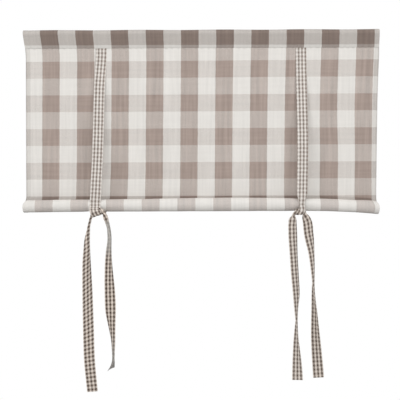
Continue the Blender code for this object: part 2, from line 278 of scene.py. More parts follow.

# Yarn colours, linear, the colours that painted light and shade mix towards, and the sewing thread's
PANEL_PALE = (0.775, 0.750, 0.712)
PANEL_DARK = (0.380, 0.304, 0.267)
TIE_PALE = (0.790, 0.742, 0.695)
TIE_DARK = (0.245, 0.200, 0.172)
# The warm tint (ties only) and the near black that painted shade mixes towards: on doubled cloth, in a band
# just above the roll, and on the ties' hanging ends
SHADE_TINT = (0.85, 0.66, 0.50)
BACKED_SHADE = (0.030, 0.010, 0.0)
# The pale colour of the rolled cloth's painted light
ROLL_LIGHT = (0.86, 0.84, 0.81)
# The dark colour of painted shade along the creased seam, at folded edges, under the roll and at the ties'
# tips
SHADED = (0.10, 0.085, 0.075)
THREAD = (0.70, 0.67, 0.62)
# A plain grey-brown, without the check and darker than its mean, painted on a tie's neck and tip: partly
# painted shade
PLAIN_SHADE_COLOUR = (0.42, 0.41, 0.385)

# Yarns: how much of a cell's colour is warp, how much it changes from over to under, how strong the streaks
# and the tones of single yarns are, and how much of both shows in a pale yarn. Next, how much painted light
# lightens the rolled cloth, and how much more than that where its yarns are dark. SEAM_LINE is how far the
# painted shade along the creased seam reaches, and the threads are a yarn's width.
WARP_SHARE = 0.70
WEAVE_CONTRAST = 0.25
STREAK_GAIN = 0.85
TONE_GAIN = 0.2
PALE_STREAKS = 0.35
ROLL_LIGHT_SHARES = (0.08, 0.32)
SEAM_LINE = 0.0018
PANEL_THREAD = 0.0006
TIE_THREAD = 0.0004

# Camera: the photo's frame is this wide where the panel hangs
FRAME_WIDTH = 1.12
CAMERA_DISTANCE = 3.6
CAMERA_X = -0.0051
CAMERA_Z = -0.4657
CAMERA_ROLL = math.radians(0.215)
SENSOR = 36.0

# Light and floor: plain surroundings, and each lamp's name, place, size and power
AMBIENT = 0.34
LAMPS = (
    ("left_softbox", (-2.25, -1.9, 1.55), 2.1, 46),
    ("right_softbox", (2.25, -1.9, 1.55), 2.4, 45),
    ("front_softbox", (0.0, -3.2, 0.5), 1.6, 24),
)
FLOOR_HALF = 1.6
FLOOR_LEVEL = -1.3


def smooth(x):
    x = np.clip(x, 0.0, 1.0)
    return x * x * (3 - 2 * x)


# Mesh building


class Skin:
    """Collects vertices with cloth coordinates and the shares of painted shade, painted light, weft and
    plain colour at each, and quads between rows of them.
    """

    def __init__(self):
        self.points = []
        self.places = []
        self.backing_and_shade = []
        self.wound = []
        self.painted_shade = []
        self.weft = []
        self.plain_shade = []
        self.faces = []
        self.count = 0

    def add(self, points, places, backing_and_shade=0.0, wound=0.0, painted_shade=0.0, weft=0.0, plain_shade=0.0):
        """Adds a grid of points and returns the grid of their numbers."""
        shape = points.shape[:-1]
        size = int(np.prod(shape))
        self.points.append(points.reshape(-1, 3))
        self.places.append(places.reshape(-1, 2))
        self.backing_and_shade.append(np.broadcast_to(backing_and_shade, shape).reshape(-1))
        self.wound.append(np.broadcast_to(wound, shape).reshape(-1))
        self.painted_shade.append(np.broadcast_to(painted_shade, shape).reshape(-1))
        self.weft.append(np.broadcast_to(weft, shape).reshape(-1))
        self.plain_shade.append(np.broadcast_to(plain_shade, shape).reshape(-1))
        first = self.count
        self.count += size
        return np.arange(first, self.count).reshape(shape)

    def quads(self, grid):
        corners = [grid[:-1, :-1], grid[1:, :-1], grid[1:, 1:], grid[:-1, 1:]]
        self.faces.extend(np.stack(corners, -1).reshape(-1, 4).tolist())

    def between(self, one, other):
        self.quads(np.stack([one, other]))

    def build(self, name, material, sharp=50):
        points = np.concatenate(self.points)
        mesh = bpy.data.meshes.new(name)
        faces = [list(dict.fromkeys(face)) for face in self.faces]
        mesh.from_pydata(points.tolist(), [], [face for face in faces if len(face) > 2])
        corner_vertex = np.empty(len(mesh.loops), dtype=np.int32)
        mesh.loops.foreach_get("vertex_index", corner_vertex)
        places = np.concatenate(self.places)
        layer = mesh.uv_layers.new(name="cloth")
        layer.data.foreach_set("uv", places[corner_vertex].astype(np.float32).ravel())
        shares = {
            "backing_and_shade": self.backing_and_shade,
            "wound": self.wound,
            "painted_shade": self.painted_shade,
            "weft": self.weft,
            "plain_shade": self.plain_shade,
        }
        for label, values in shares.items():
            attribute = mesh.attributes.new(label, "FLOAT", "POINT")
            attribute.data.foreach_set("value", np.concatenate(values).astype(np.float32))
        bm = bmesh.new()
        bm.from_mesh(mesh)
        bmesh.ops.recalc_face_normals(bm, faces=bm.faces[:])
        bm.to_mesh(mesh)
        bm.free()
        mesh.shade_smooth()
        mesh.set_sharp_from_angle(angle=math.radians(sharp))
        mesh.materials.append(material)
        obj = bpy.data.objects.new(name, mesh)
        bpy.context.scene.collection.objects.link(obj)
        return obj


# Materials


class Nodes:
    """Short calls for building a node tree."""

    def __init__(self, material):
        material.use_nodes = True
        self.tree = material.node_tree
        self.shader = self.tree.nodes["Principled BSDF"]

    def new(self, kind, **settings):
        node = self.tree.nodes.new(kind)
        for key, value in settings.items():
            setattr(node, key, value)
        return node

    def link(self, output, socket):
        self.tree.links.new(output, socket)

    def feed(self, socket, value):
        if isinstance(value, bpy.types.NodeSocket):
            self.link(value, socket)
        elif value is not None:
            socket.default_value = value

    def math(self, operation, a, b=None, c=None):
        node = self.new("ShaderNodeMath", operation=operation)
        for socket, value in zip(node.inputs, (a, b, c)):
            self.feed(socket, value)
        return node.outputs[0]

    def mix(self, factor, a, b, blend="MIX"):
        node = self.new("ShaderNodeMix", data_type="RGBA", blend_type=blend)
        self.feed(node.inputs["Factor"], factor)
        for socket, value in ((node.inputs[6], a), (node.inputs[7], b)):
            self.feed(socket, (*value, 1.0) if isinstance(value, tuple) else value)
        return node.outputs[2]

    def noise(self, x, y, scale_x, scale_y, detail=2.0):
        """Noise over cloth coordinates, stretched by its own scale along each."""
        join = self.new("ShaderNodeCombineXYZ")
        self.link(self.math("MULTIPLY", x, scale_x), join.inputs[0])
        self.link(self.math("MULTIPLY", y, scale_y), join.inputs[1])
        node = self.new("ShaderNodeTexNoise")
        node.inputs["Scale"].default_value = 1.0
        node.inputs["Detail"].default_value = detail
        self.link(join.outputs[0], node.inputs["Vector"])
        return node.outputs["Fac"]

    def attribute(self, name):
        return self.new("ShaderNodeAttribute", attribute_name=name).outputs["Fac"]


def stripe(n, place, start, period):
    """1 in the dark half of each period, from start on, and 0 in the pale half."""
    shifted = n.math("DIVIDE", n.math("SUBTRACT", place, start), period)
    return n.math("LESS_THAN", n.math("FRACT", shifted), 0.5)


def uneven(n, yarn, dark, streak, tone):
    """A yarn's colour with its streaks and its own tone, which show less in a pale yarn."""
    base = 1 - (STREAK_GAIN + TONE_GAIN) / 2
    gain = n.math("MULTIPLY_ADD", streak, STREAK_GAIN, n.math("MULTIPLY_ADD", tone, TONE_GAIN, base))
    return n.mix(n.math("MULTIPLY_ADD", dark, 1 - PALE_STREAKS, PALE_STREAKS), yarn, gain, "MULTIPLY")


def gingham(name, pale, dark, across, along, thread, deepening, warmth, seam):
    """Plain-woven check: warp and weft yarns of two colours that pass over and under each other.

    across and along are (start of a dark stripe, period) in metres of cloth, and thread is a yarn's width.
    deepening is how much painted shade darkens doubled and shaded cloth, and how much more than that where
    its yarns are dark. warmth tints pale yarns in that painted shade, and seam is how dark the painted
    shade along the creased seam is.
    """
    material = bpy.data.materials.new(name)
    n = Nodes(material)
    split = n.new("ShaderNodeSeparateXYZ")
    n.link(n.new("ShaderNodeUVMap", uv_map="cloth").outputs["UV"], split.inputs[0])
    u, v = split.outputs[0], split.outputs[1]

    # A dark stripe's edge wanders by a yarn or so
    wander_u = n.math("MULTIPLY", n.math("SUBTRACT", n.noise(u, v, 30, 60), 0.5), 3 * thread)
    wander_v = n.math("MULTIPLY", n.math("SUBTRACT", n.noise(v, u, 30, 60), 0.5), 3 * thread)
    warp_dark = stripe(n, n.math("ADD", u, wander_u), *across)
    weft_dark = stripe(n, n.math("ADD", v, wander_v), *along)

    # Each yarn is a little lighter or darker than the next, and uneven along its length
    warp_tone = n.noise(u, v, 0.7 / thread, 12, 1.0)
    weft_tone = n.noise(u, v, 12, 0.7 / thread, 1.0)
    warp = n.mix(warp_dark, pale, dark)
    weft = n.mix(weft_dark, pale, dark)
    warp_streak = n.noise(u, v, 120, 5, 3.0)
    weft_streak = n.noise(v, u, 120, 5, 3.0)
    warp = uneven(n, warp, warp_dark, warp_streak, warp_tone)
    weft = uneven(n, weft, weft_dark, weft_streak, weft_tone)

    # Over and under
    wave_u = n.math("SINE", n.math("MULTIPLY", u, math.pi / thread))
    wave_v = n.math("SINE", n.math("MULTIPLY", v, math.pi / thread))
    weave = n.math("MULTIPLY", wave_u, wave_v)
    warp_share = n.math("MULTIPLY_ADD", n.attribute("weft"), -1.0, WARP_SHARE)
    warp_shows = n.math("ADD", warp_share, n.math("MULTIPLY", weave, WEAVE_CONTRAST))
    colour = n.mix(warp_shows, weft, warp)

    # Painted shade deepens doubled cloth, which lets less light through, and cloth in shade, dark yarns
    # most of all, and painted light lightens the rolled cloth
    backing_and_shade = n.attribute("backing_and_shade")
    any_dark = n.math("ADD", n.math("MULTIPLY", warp_dark, 0.7), n.math("MULTIPLY", weft_dark, 0.3))
    deepen = n.math("MULTIPLY", backing_and_shade, n.math("MULTIPLY_ADD", any_dark, deepening[1], deepening[0]))
    colour = n.mix(deepen, colour, BACKED_SHADE)
    warm = n.math("MULTIPLY", backing_and_shade, n.math("MULTIPLY_ADD", any_dark, -warmth, warmth))
    colour = n.mix(warm, colour, SHADE_TINT)
    lightening = n.math("MULTIPLY_ADD", any_dark, ROLL_LIGHT_SHARES[1], ROLL_LIGHT_SHARES[0])
    lighten = n.math("MULTIPLY", n.attribute("wound"), lightening)
    colour = n.mix(lighten, colour, ROLL_LIGHT)

    # A tie's neck and tip are painted plain and darker, partly painted shade, and painted shade darkens the
    # creased seam, the folded edges, the underside of the roll and the ties' tips
    from_seam = n.math("DIVIDE", n.math("ABSOLUTE", v), SEAM_LINE)
    at_seam = n.math("MULTIPLY", n.math("MAXIMUM", n.math("SUBTRACT", 1.0, from_seam), 0.0), seam)
    colour = n.mix(n.attribute("plain_shade"), colour, PLAIN_SHADE_COLOUR)
    colour = n.mix(n.math("MAXIMUM", at_seam, n.attribute("painted_shade")), colour, SHADED)
    n.link(colour, n.shader.inputs["Base Color"])

    n.shader.inputs["Roughness"].default_value = 0.85
    n.shader.inputs["Specular IOR Level"].default_value = 0.25
    n.shader.inputs["Sheen Weight"].default_value = 0.06
    n.shader.inputs["Sheen Roughness"].default_value = 0.6

    # Yarn relief and slubs
    slub = n.math("MULTIPLY", n.noise(u, v, 900, 900, 3.0), 0.5)
    height = n.math("ADD", n.math("ABSOLUTE", weave), slub)
    bump = n.new("ShaderNodeBump")
    bump.inputs["Strength"].default_value = 0.35
    bump.inputs["Distance"].default_value = thread / 4
    n.link(height, bump.inputs["Height"])
    n.link(bump.outputs["Normal"], n.shader.inputs["Normal"])
    return material


def thread_material():
    material = bpy.data.materials.new("sewing_thread")
    n = Nodes(material)
    where = n.new("ShaderNodeTexCoord").outputs["Object"]
    node = n.new("ShaderNodeTexNoise")
    node.inputs["Scale"].default_value = 1500
    n.link(where, node.inputs["Vector"])
    tone = n.mix(node.outputs["Fac"], THREAD, tuple(0.8 * c for c in THREAD))
    n.link(tone, n.shader.inputs["Base Color"])
    n.shader.inputs["Roughness"].default_value = 0.7
    return material


# Panel


def roll_axis(x):
    """(y, z) of the roll's axis at each x. It droops beyond the ties."""
    past_tie = np.maximum(np.abs(x) - RIGHT_TIE_X, 0.0) / (HALF_WIDTH - RIGHT_TIE_X)
    droop = np.where(x > 0, RIGHT_DROOP, LEFT_DROOP)
    return -(ROLL_RADIUS - PANEL_HALF) + 0 * x, -ROLL_DROP - droop * past_tie**2


def squeeze(x):
    """How much the ties press the roll in at each x, from 0 to 1."""
    left = np.exp(-(((x - LEFT_ROLL_X) / 0.022) ** 2))
    right = np.exp(-(((x - RIGHT_ROLL_X) / 0.018) ** 2))
    return left + right


def draw_in(nominal, z, axis_z):
    """How far the side edge on this side lies in from the header's end, at each height."""
    sides = []
    for rows, at_roll in ((LEFT_DRAW_IN, LEFT_ROLL_DRAW_IN), (RIGHT_DRAW_IN, RIGHT_ROLL_DRAW_IN)):
        heights, amounts = np.array(rows)[::-1].T
        amount = np.interp(z, heights, amounts)
        above_roll = smooth((z - axis_z) / ROLL_FLARE)
        sides.append(at_roll + (amount - at_roll) * above_roll)
    return np.where(nominal < 0, *sides)


def ripple(x, z, axis_z):
    """Soft upright folds of the flat cloth. They clear the back ties and die out at seam and roll."""
    share = np.clip((-SEAM_DROP - z) / (-SEAM_DROP - axis_z), 0, 1)
    hold = smooth(share / 0.25) * smooth((1 - share) / 0.12)
    waves = sum(height * np.sin(x / width + phase + turn * share) for height, width, phase, turn in FOLDS)
    at_tie = np.exp(-(((np.abs(x) - RIGHT_TIE_X) / 0.040) ** 4))
    return hold * (waves - TIE_ROOM * at_tie)


def pucker(x, distance):
    """Small puckers that the seam's stitches draw up beside it."""
    fade = np.exp(-np.abs(distance) / 0.008)
    return fade * (0.00035 * np.sin(x / 0.0016) + 0.00025 * np.sin(x / 0.0027 + 1.0))


def column_places():
    """Places of the upright columns across the nominal width: dense at the hems, even between."""
    hem = [0.0, 0.0004, 0.0012, 0.005, 0.009, HEM_WIDTH - 0.0008, HEM_WIDTH, HEM_WIDTH + 0.0012]
    middle = np.linspace(-HALF_WIDTH + HEM_WIDTH + 0.006, HALF_WIDTH - HEM_WIDTH - 0.006, COLUMNS)
    edge = np.array(hem)
    return np.concatenate([-HALF_WIDTH + edge, middle, (HALF_WIDTH - edge)[::-1]])


def thickness(nominal):
    """The cloth is doubled in the side hems and thinner at its folded edge."""
    from_edge = HALF_WIDTH - np.abs(nominal)
    doubled = smooth((HEM_WIDTH + HEM_STEP / 2 - from_edge) / HEM_STEP)
    round_edge = 0.35 + 0.65 * smooth(from_edge / EDGE_ROUND)
    return (CLOTH + HEM_EXTRA * doubled) * round_edge


def make_panel(material):
    nominal = column_places()
    thick = thickness(nominal)
    axis_y, axis_z = roll_axis(nominal)
    share = nominal / HALF_WIDTH
    skin = Skin()

    # Flat cloth, from the seam down to where the roll starts
    sparse = np.linspace(0, DENSE_FROM, FLAT_ROWS)[:-1]
    rows = np.concatenate([sparse, np.linspace(DENSE_FROM, 1, DENSE_ROWS)])[:, None]
    z = -SEAM_DROP + rows * (axis_z + SEAM_DROP)
    x = share * (HALF_WIDTH - draw_in(nominal, z, axis_z))
    y = ripple(x, z, axis_z) + pucker(nominal, z + SEAM_DROP)
    slope = np.gradient(y, axis=1) / np.gradient(x, axis=1)
    normal = np.stack([-slope, np.ones_like(slope), np.zeros_like(slope)], -1)
    normal /= np.linalg.norm(normal, axis=-1, keepdims=True)
    middle = np.stack([x, y, z], -1)
    along = z + SEAM_DROP
    flat = (middle, normal, along)

    # Outer turn of the roll, fine, and the inner turns, on every sixth column between the hems
    turns = (ROLL_RADIUS - CLOTH / 2 - CORE_RADIUS) / TURN_PITCH
    outer = np.radians(np.arange(7.5, 361, 7.5))[:, None]
    inner = np.arange(2 * math.pi, 2 * math.pi * turns, math.radians(20))[1:, None]

    def wound(angles, pick):
        radius = ROLL_RADIUS - PANEL_HALF - TURN_PITCH * angles / (2 * math.pi)
        nx = nominal[pick]
        dents = ROLL_UNEVEN * np.sin(nx / 0.021) * np.sin(3 * angles + nx / 0.05)
        press = ROLL_PRESS * squeeze(nx) + dents
        fuller = ROLL_PLUMP * np.exp(-(((nx - 0.07) / 0.20) ** 2))
        fuller = fuller + ROLL_END_PLUMP * smooth((nx - 0.42) / 0.06)
        plump = fuller * smooth(angles / 1.5)
        radius = radius + plump - np.clip(press, 0, None) * smooth(angles / 0.8)
        out_y, out_z = np.cos(angles), -np.sin(angles)
        py = axis_y[pick] + radius * out_y
        pz = axis_z[pick] + plump + radius * out_z
        slip = TURN_SLIP * np.sin(angles * 0.63) * smooth((np.abs(nx) - 0.44) / 0.06) * np.sign(nx)
        draw = np.where(nx < 0, LEFT_ROLL_DRAW_IN, RIGHT_ROLL_DRAW_IN)
        corner = ROLL_ROUND_TOP * np.clip(out_z, 0, 1) ** 2 + ROLL_ROUND_UNDER * np.clip(-out_z, 0, 1) ** 2
        corner = corner * smooth((np.abs(nx) - 0.46) / 0.0385) * smooth((angles - 0.3) / 0.6)
        px = share[pick] * (HALF_WIDTH - draw) + slip - corner * np.sign(nx)
        points = np.stack([px, py + 0 * px, pz + 0 * px], -1)
        normals = np.stack([0 * px, out_y + 0 * px, out_z + 0 * px], -1)
        length = axis_z[pick] + SEAM_DROP - (ROLL_RADIUS - TURN_PITCH * angles / (4 * math.pi)) * angles
        return points, normals, length + 0 * px

    everything = np.arange(len(nominal))
    ends = (0, len(nominal) - 1)
    picked = np.concatenate([everything[:8:2], everything[8:-8:6], everything[-8:][::-2], ends])
    picked = np.unique(picked)

    def lay(part, pick, backing_and_shade, roll_light_share, painted_shade=0.0):
        """Adds the face and the back of a stretch of cloth and returns both grids of numbers."""
        points, normals, length = part
        amount = smooth((-length - ROLLED_FROM) / ROLLED_FADE)
        side = nominal[pick] / HALF_WIDTH
        down = np.clip(-length / (ROLL_DROP - SEAM_DROP), 0, 1)
        across = nominal[pick] + COLUMN_LEAN * down * (1 - side**2) + COLUMN_SPREAD * side * (1 - down)
        right_pull = RIGHT_PULL * np.exp(-(((nominal[pick] - RIGHT_PULL_AT) / 0.06) ** 2))
        left_pull = LEFT_PULL * np.exp(-(((nominal[pick] - LEFT_PULL_AT) / 0.09) ** 2))
        across = across - right_pull * smooth((down - 0.4) / 0.3)
        across = across + left_pull * smooth((down - 0.75) / 0.2)
        bow = np.where(side < 0, LEFT_ROLL_BOW, RIGHT_ROLL_BOW)
        rolled = nominal[pick] * ROLL_SCALE_ACROSS + ROLL_SHIFT_ACROSS - bow * side**2
        across = across + (rolled - across) * amount
        along = length - ROW_RISE - ROW_SKEW * side * (1 - down)
        places = np.stack([across, along + (ROLL_SHIFT_ALONG + ROW_RISE) * amount], -1)
        offset = normals * (thick[pick] / 2)[:, None]
        face = skin.add(points - offset, places, backing_and_shade, roll_light_share, painted_shade)
        back = skin.add(points + offset, places, backing_and_shade, roll_light_share, painted_shade)
        return face, back

    # Painted shade on the flat cloth: the doubled hems, a band just above the roll, where the roll shades
    # it, and the folded outer edges. The roll gets painted shade on the underside of its outer turn and
    # painted light on all its turns.
    from_edge = HALF_WIDTH - np.abs(nominal)
    doubled = 0.8 * smooth((HEM_WIDTH + HEM_STEP / 2 - from_edge) / HEM_STEP)
    shade_above_roll = 1 - smooth((middle[..., 2] - axis_z - ROLL_RADIUS - 0.0055) / 0.004)
    edge_shade = 0.30 * (1 - smooth(from_edge / 0.004))
    shade_beneath = 0.55 * np.exp(-(((outer - math.radians(95)) / math.radians(26)) ** 2))
    flat_face, flat_back = lay(flat, everything, np.maximum(doubled, 0.9 * shade_above_roll), 0.0, edge_shade)
    outer_roll_light = 1.15 - 0.35 * smooth(outer / 3)
    outer_face, outer_back = lay(wound(outer, everything), everything, 0.0, outer_roll_light, shade_beneath)
    inner_face, inner_back = lay(wound(inner, picked), picked, 0.0, 1.0)
    for upper, lower in ((flat_face, outer_face), (flat_back, outer_back)):
        skin.quads(np.concatenate([upper, lower]))
    for fine, coarse in ((outer_face, inner_face), (outer_back, inner_back)):
        skin.quads(coarse)
        for k in range(len(picked) - 1):
            run = fine[-1, picked[k]:picked[k + 1] + 1].tolist()
            skin.faces.append([*run, int(coarse[0, k + 1]), int(coarse[0, k])])
    skin.between(inner_face[-1], inner_back[-1])

    # Tunnel
    tangent = math.acos(TUNNEL_RADIUS / SEAM_DROP)
    slant = math.pi / 2 - tangent
    leg = math.sqrt(SEAM_DROP**2 - TUNNEL_RADIUS**2)
    rise = np.concatenate([[0.008, 0.05], np.linspace(0, 1, 12)[1:-1]])
    angles = np.linspace(tangent, 2 * math.pi - tangent, 37)
    leg_y = -rise * leg * math.sin(slant)
    leg_z = -SEAM_DROP + rise * leg * math.cos(slant)
    leg_normal = np.tile([[-math.cos(slant), -math.sin(slant)]], (len(rise), 1))
    middle_y = np.concatenate([leg_y, -TUNNEL_RADIUS * np.sin(angles), -leg_y[::-1]])
    middle_z = np.concatenate([leg_z, -TUNNEL_RADIUS * np.cos(angles), leg_z[::-1]])
    out_y = np.concatenate([leg_normal[:, 0], -np.sin(angles), -leg_normal[:, 0]])
    out_z = np.concatenate([leg_normal[:, 1], -np.cos(angles), leg_normal[:, 1]])
    steps = np.hypot(np.diff(middle_y, prepend=0.0), np.diff(middle_z, prepend=-SEAM_DROP))
    length = np.cumsum(steps)[:, None] + 0 * nominal
    total = float(length[-1, 0]) + float(steps[0])
    wave = pucker(nominal, np.minimum(length, total - length))
    sag = (0.0005 * np.sin(nominal / 0.037) - 0.0007) * np.sin(math.pi * length / total)
    my = middle_y[:, None] + out_y[:, None] * (wave + sag)
    mz = middle_z[:, None] + out_z[:, None] * (wave + sag)
    mx = share * (HALF_WIDTH - draw_in(nominal, mz, axis_z))
    middle = np.stack([mx, my, mz], -1)
    normals = np.stack([0 * mx, out_y[:, None] + 0 * mx, out_z[:, None] + 0 * mx], -1)
    places = np.stack([nominal + HEADER_SHIFT + HEADER_SPREAD * share + 0 * mx, length], -1)
    offset = normals * (thick / 2)[:, None]
    # The tunnel is doubled cloth and gets the full painted shade of doubled cloth
    outside = skin.add(middle + offset, places, 1.0, 0.0)
    inside = skin.add(middle - offset, places, 1.0, 0.0)
    crotch_z = -SEAM_DROP + thick / 2 / math.sin(slant)
    crotch_x = share * (HALF_WIDTH - draw_in(nominal, -SEAM_DROP + 0 * nominal, axis_z))
    crotch = np.stack([crotch_x, wave[0], crotch_z], -1)
    crotch = skin.add(crotch, np.stack([nominal, 0 * nominal], -1), 1.0, 0.0)
    outside = np.concatenate([flat_face[:1], outside, flat_back[:1]])
    inside = np.concatenate([crotch[None], inside, crotch[None]])
    skin.quads(outside)
    skin.quads(inside)

    # Ends of the cloth at both sides
    for column in (0, -1):
        face_edge = [grid[:, column] for grid in (flat_face, outer_face, inner_face)]
        back_edge = [grid[:, column] for grid in (flat_back, outer_back, inner_back)]
        skin.between(np.concatenate(face_edge), np.concatenate(back_edge))
        skin.between(outside[:, column], inside[:, column])
        skin.faces.append([int(flat_face[0, column]), int(crotch[column]), int(flat_back[0, column])])
    return skin.build("panel_cloth", material, sharp=60)


def face_of_cloth(nominal, z):
    """Places on the face of the flat cloth, at nominal places across and at heights."""
    nominal, z = np.broadcast_arrays(nominal, z)
    axis_y, axis_z = roll_axis(nominal)
    x = nominal / HALF_WIDTH * (HALF_WIDTH - draw_in(nominal, z, axis_z))
    y = ripple(x, z, axis_z) + pucker(nominal, z + SEAM_DROP) - thickness(nominal) / 2
    return np.stack([x, y, z], -1)


def stitch_rows(places, pitch, length, point_at):
    """Start and end points of stitches along a line of places, each put on the cloth by point_at."""
    starts = np.arange(places[0], places[1] - length, pitch)
    return np.stack([point_at(starts), point_at(starts + length)], 1)


def make_stitches(name, stitches, material):
    """Short closed threads that rise from the cloth's face and dip into it at both ends."""
    sides = 6
    turn = np.linspace(0, 2 * math.pi, sides, endpoint=False)
    shares = np.array((0.0, 0.2, 0.5, 0.8, 1.0))
    widths = THREAD_RADIUS * np.array((0.3, 0.85, 1.0, 0.85, 0.3))
    lifts = THREAD_RADIUS * np.array((-1.0, 0.1, 0.5, 0.1, -1.0))
    out = np.array((0.0, -1.0, 0.0))
    points, faces = [], []
    for start, end in stitches:
        direction = (end - start) / np.linalg.norm(end - start)
        across = np.cross(direction, out)
        first = len(points)
        for share, width, lift in zip(shares, widths, lifts):
            middle = start + share * (end - start) + lift * out
            ring = middle + width * (np.cos(turn)[:, None] * across + np.sin(turn)[:, None] * out)
            points.extend(ring.tolist())
        for k in range(len(shares) - 1):
            for j in range(sides):
                a, b = first + k * sides + j, first + k * sides + (j + 1) % sides
                faces.append((a, b, b + sides, a + sides))
        faces.append(tuple(first + j for j in range(sides)))
        faces.append(tuple(first + (len(shares) - 1) * sides + j for j in range(sides)))
    mesh = bpy.data.meshes.new(name)
    mesh.from_pydata(points, [], faces)
    bm = bmesh.new()
    bm.from_mesh(mesh)
    bmesh.ops.recalc_face_normals(bm, faces=bm.faces[:])
    bm.to_mesh(mesh)
    bm.free()
    mesh.shade_smooth()
    mesh.materials.append(material)
    obj = bpy.data.objects.new(name, mesh)
    bpy.context.scene.collection.objects.link(obj)
    return obj


def panel_stitches():
    """Stitches of the rod tunnel's seam and of both side hems."""
    seam_z = -SEAM_DROP - 0.0015
    hem_place = HALF_WIDTH - HEM_WIDTH + 0.0015
    hem_end = -ROLL_DROP + ROLL_RADIUS + 0.006
    reach = HALF_WIDTH - 0.003
    rows = [stitch_rows((-reach, reach), STITCH_PITCH, STITCH_LENGTH, lambda x: face_of_cloth(x, seam_z))]
    for side in (-hem_place, hem_place):
        rows.append(
            stitch_rows(
                (hem_end, -SEAM_DROP - 0.004),
                STITCH_PITCH,
                STITCH_LENGTH,
                lambda z, side=side: face_of_cloth(side, z),
            )
        )
    return np.concatenate(rows)


# Ties


def station(point, turn=0.0, gather=0.0, lean=0.0):
    """One place on a tie's route. The band is turned about the upright and leans up to the right."""
    angle = math.radians(turn)
    level = math.cos(lean)
    return np.array([*point, level * math.cos(angle), level * math.sin(angle), math.sin(lean), gather])


def smooth_route(stations, step):
    """A smooth route through all stations with even steps of about the length given."""
    stations = np.array(stations)
    lengths = np.linalg.norm(np.diff(stations[:, :3], axis=0), axis=1)
    reach = np.concatenate([[0.0], np.cumsum(lengths)])
    slopes = np.gradient(stations, reach, axis=0)
    route = [stations[0]]
    for k, length in enumerate(lengths):
        for t in np.linspace(0, 1, max(1, math.ceil(length / step)) + 1)[1:]:
            route.append(
                (2 * t**3 - 3 * t**2 + 1) * stations[k]
                + (t**3 - 2 * t**2 + t) * length * slopes[k]
                + (3 * t**2 - 2 * t**3) * stations[k + 1]
                + (t**3 - t**2) * length * slopes[k + 1]
            )
    return np.array(route)


def tie_section(curl):
    """(across, depth, out across, out depth) of a tie's middle line when it curls through this angle.

    A gathered tie curls into a scroll. Its bend tightens towards one edge, so that the turns nest.
    """
    columns = 36
    q = np.linspace(0, 1, 12 * columns + 1)
    tighten = 0.45 * float(smooth((curl - 3.0) / 3.0))
    angle = curl * (q - 0.5 + tighten * ((q - 0.5) ** 2 - 0.25))
    step = TIE_WIDTH / (12 * columns)
    across = np.concatenate([[0.0], np.cumsum(np.cos((angle[1:] + angle[:-1]) / 2))]) * step
    depth = -np.concatenate([[0.0], np.cumsum(np.sin((angle[1:] + angle[:-1]) / 2))]) * step
    across -= (across.max() + across.min()) / 2
    scrolled = float(smooth(curl / 3.0))
    depth -= (depth.max() + depth.min()) / 2 * scrolled + depth[6 * columns] * (1 - scrolled)
    flatten = float(smooth(curl / 6.0))
    across *= 1 + 0.12 * flatten
    depth *= 1 - 0.32 * flatten
    pick = slice(None, None, 12)
    return across[pick], depth[pick], np.sin(angle)[pick], np.cos(angle)[pick]


def half_depth(gather):
    """Half the depth of a tie that is gathered this much, as in the CAD model."""
    narrow = 1 - min(max(gather, 0.0), 1.0) * (1 - GATHERED_WIDTH / TIE_WIDTH)
    return (TIE_WIDTH / PLEATS * math.sqrt(1 - narrow**2) + TIE_THICKNESS) / 2


def axis_at(x):
    y, z = roll_axis(np.array(x))
    return float(y), float(z)


class Knot:
    """A half knot on an axis along the roll: each strand makes one turn round the other."""

    def __init__(self, front_x, hand, length, forward, tilt, back_share):
        across = 2 * (half_depth(1.0) + STRAND_AIR)
        self.back_radius = across * back_share
        self.front_radius = across * (1 - back_share)
        reach = ROLL_RADIUS + self.front_radius + half_depth(1.0) + 2 * CLEARANCE
        reach += length / 2 * math.sin(abs(tilt))
        axis_y, axis_z = axis_at(front_x)
        self.hand = hand
        self.length = length
        self.forward = forward
        self.middle = Vector(
            (
                front_x + hand * length / 2,
                axis_y - reach * math.sin(forward),
                axis_z - reach * math.cos(forward),
            )
        )
        self.axis = Vector((math.cos(tilt), 0.0, math.sin(tilt)))
        self.front = Vector((0.0, -1.0, 0.0))
        self.below = self.axis.cross(self.front)

    def place(self, share, angle, radius):
        along = self.hand * self.length * (float(share) - 0.5)
        round_axis = math.cos(angle) * self.front + math.sin(angle) * self.below
        return self.middle + along * self.axis + radius * round_axis

    def back_strand(self, share):
        return self.place(share, 2 * math.pi * float(share) - math.pi, self.back_radius)


def tail(knot, leaves_at, rows):
    return [
        station((knot.middle.x + sideways, leaves_at[1], knot.middle.z - drop), turn, gather)
        for drop, sideways, turn, gather in rows
    ]


def front_tie_route(top_x, sways, roll_x, knot, wrap, lean, tail_rows):
    sewn_y = -(PANEL_HALF + CLEARANCE + TIE_THICKNESS / 2)
    axis_y, axis_z = axis_at(roll_x)
    touch = ROLL_RADIUS + CLEARANCE + half_depth(wrap[0][3])
    top = np.array((top_x, sewn_y, -SEAM_DROP - SEWN_END))
    on_roll = np.array((roll_x, axis_y - touch, axis_z))
    stations = [station((top_x, sewn_y, -SEAM_DROP - CLEARANCE)), station(top)]
    for sway_x, sway_z in sways:
        down = (sway_z - top[2]) / (on_roll[2] - top[2])
        swayed = np.array((sway_x, top[1] + down * (on_roll[1] - top[1]), sway_z))
        stations.append(station(swayed))
    stations.append(station(on_roll + GATHER_RUN * (swayed - on_roll) / np.linalg.norm(swayed - on_roll)))
    stations.append(station(on_roll, gather=wrap[0][3]))
    for share, angle, radius, gather in wrap:
        leaning = lean * math.sin(math.radians(min(angle, 180)))
        point = knot.place(share, math.radians(angle), radius)
        stations.append(station(point, gather=gather, lean=leaning))
    return smooth_route(stations + tail(knot, point, tail_rows), ROUTE_STEP)


